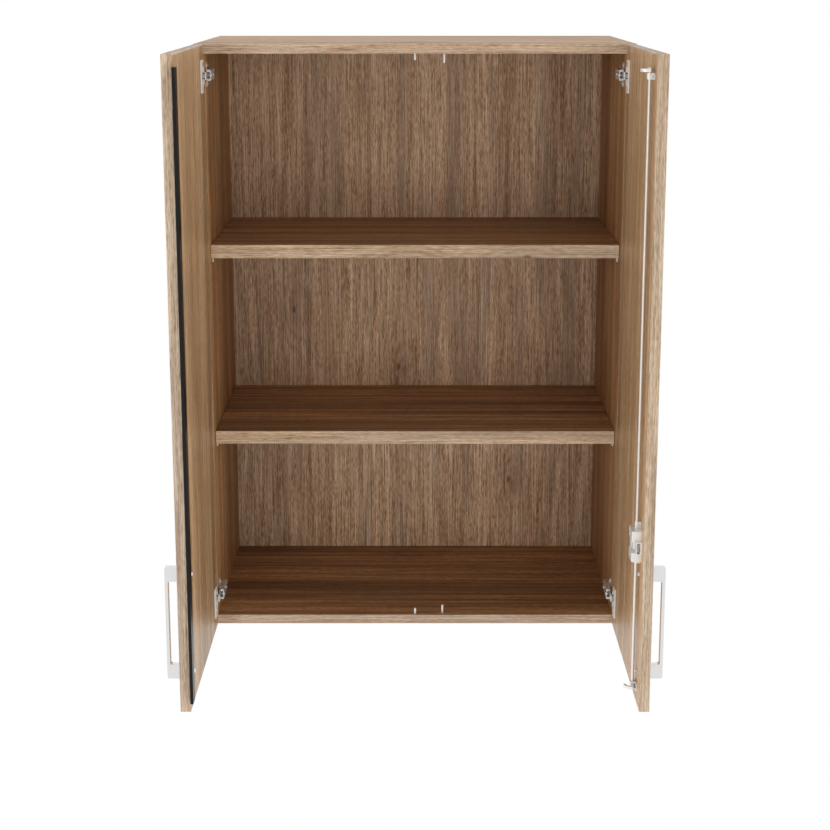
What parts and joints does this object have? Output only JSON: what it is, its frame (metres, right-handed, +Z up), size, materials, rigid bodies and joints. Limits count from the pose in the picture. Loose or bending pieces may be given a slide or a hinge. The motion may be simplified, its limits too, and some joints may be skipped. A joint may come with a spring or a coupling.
{
  "type": "wall cabinet",
  "caption": "Wall-hung office cabinet in oak decor with hinged doors, shelves for files, D-shaped handles, concealed hinges and a rotary rod lock; shown with its doors open.",
  "frame": {"origin": "midway between the hanger holes, on the wall plane", "axes": "+Z up, +Y into the wall, the front faces -Y, +X to the right seen from the front"},
  "size_m": [0.854, 0.8345, 1.11],
  "materials": {
    "oak_board": "oak-decor melamine on chipboard, matt",
    "oak_edge": "oak-decor edging, matt",
    "beech_dowel": "plain beech",
    "zinc_steel": "zinc plated",
    "nickel_steel": "nickel plated",
    "cast_zinc": "light satin, die cast",
    "satin_aluminium": "satin",
    "cylinder_nickel": "satin nickel",
    "black_plastic": "matt"
  },
  "bodies": {
    "carcass": {"top_panel": "oak_board", "bottom_panel": "oak_board", "side_panel_left": "oak_board", "side_panel_right": "oak_board", "back_panel": "oak_board", "panel_edge_bands": "oak_edge", "panel_end_bands": "oak_edge", "side_edge_bands": "oak_edge", "shelf_lower": "oak_board", "shelf_upper": "oak_board", "shelf_edge_bands": "oak_edge", "shelf_supports": "nickel_steel", "corner_dowels": "beech_dowel", "hanger_plates": "zinc_steel", "hanger_screws": "zinc_steel", "lock_pins": "nickel_steel", "stop_pins": "nickel_steel", "hinge_plates_left": "nickel_steel", "hinge_plates_right": "nickel_steel", "hinge_plate_screws": "zinc_steel", "hinge_arms_left": "nickel_steel", "hinge_arms_right": "nickel_steel", "hinge_arm_screws": "zinc_steel"},
    "left_door": {"door_panel_left": "oak_board", "door_edge_bands_left": "oak_edge", "door_end_bands_left": "oak_edge", "hinge_cups_left": "nickel_steel", "hinge_pins_left": "zinc_steel", "cup_screws_left": "zinc_steel", "handle_left": "satin_aluminium", "handle_screws_left": "zinc_steel", "meeting_strip": "black_plastic"},
    "right_door": {"door_panel_right": "oak_board", "door_edge_bands_right": "oak_edge", "door_end_bands_right": "oak_edge", "hinge_cups_right": "nickel_steel", "hinge_pins_right": "zinc_steel", "cup_screws_right": "zinc_steel", "handle_right": "satin_aluminium", "handle_screws_right": "zinc_steel", "lock_case": "cast_zinc", "lock_case_screws": "zinc_steel", "lock_cylinder": "cylinder_nickel", "rod_guide_upper": "cast_zinc", "rod_guide_lower": "cast_zinc", "rod_guide_screws": "zinc_steel"},
    "lock_rod": {"locking_rod": "nickel_steel", "rod_hooks": "cast_zinc", "lock_rotor": "cast_zinc"},
    "lock_plug": {"lock_plug": "cylinder_nickel"}
  },
  "joints": [
    {"name": "left_door_swing", "type": "hinge", "parent": "carcass", "child": "left_door", "pos_m": [-0.3915, -0.4325, -0.485], "axis": [0, 0, -1], "range_deg": [-90, 15]},
    {"name": "right_door_swing", "type": "hinge", "parent": "carcass", "child": "right_door", "pos_m": [0.3915, -0.4325, -0.485], "axis": [0, 0, 1], "range_deg": [-90, 15]},
    {"name": "rod_turn", "type": "hinge", "parent": "right_door", "child": "lock_rod", "pos_m": [0.3756, -0.7775, -0.485], "axis": [0, 0, -1], "range_deg": [0, 60]},
    {"name": "plug_turn", "type": "hinge", "parent": "right_door", "child": "lock_plug", "pos_m": [0.391, -0.7775, -0.752], "axis": [1, 0, 0], "range_deg": [0, 90]}
  ],
  "couplings": [
    {"joint": "plug_turn", "follows": "rod_turn", "ratio": 1.5}
  ]
}
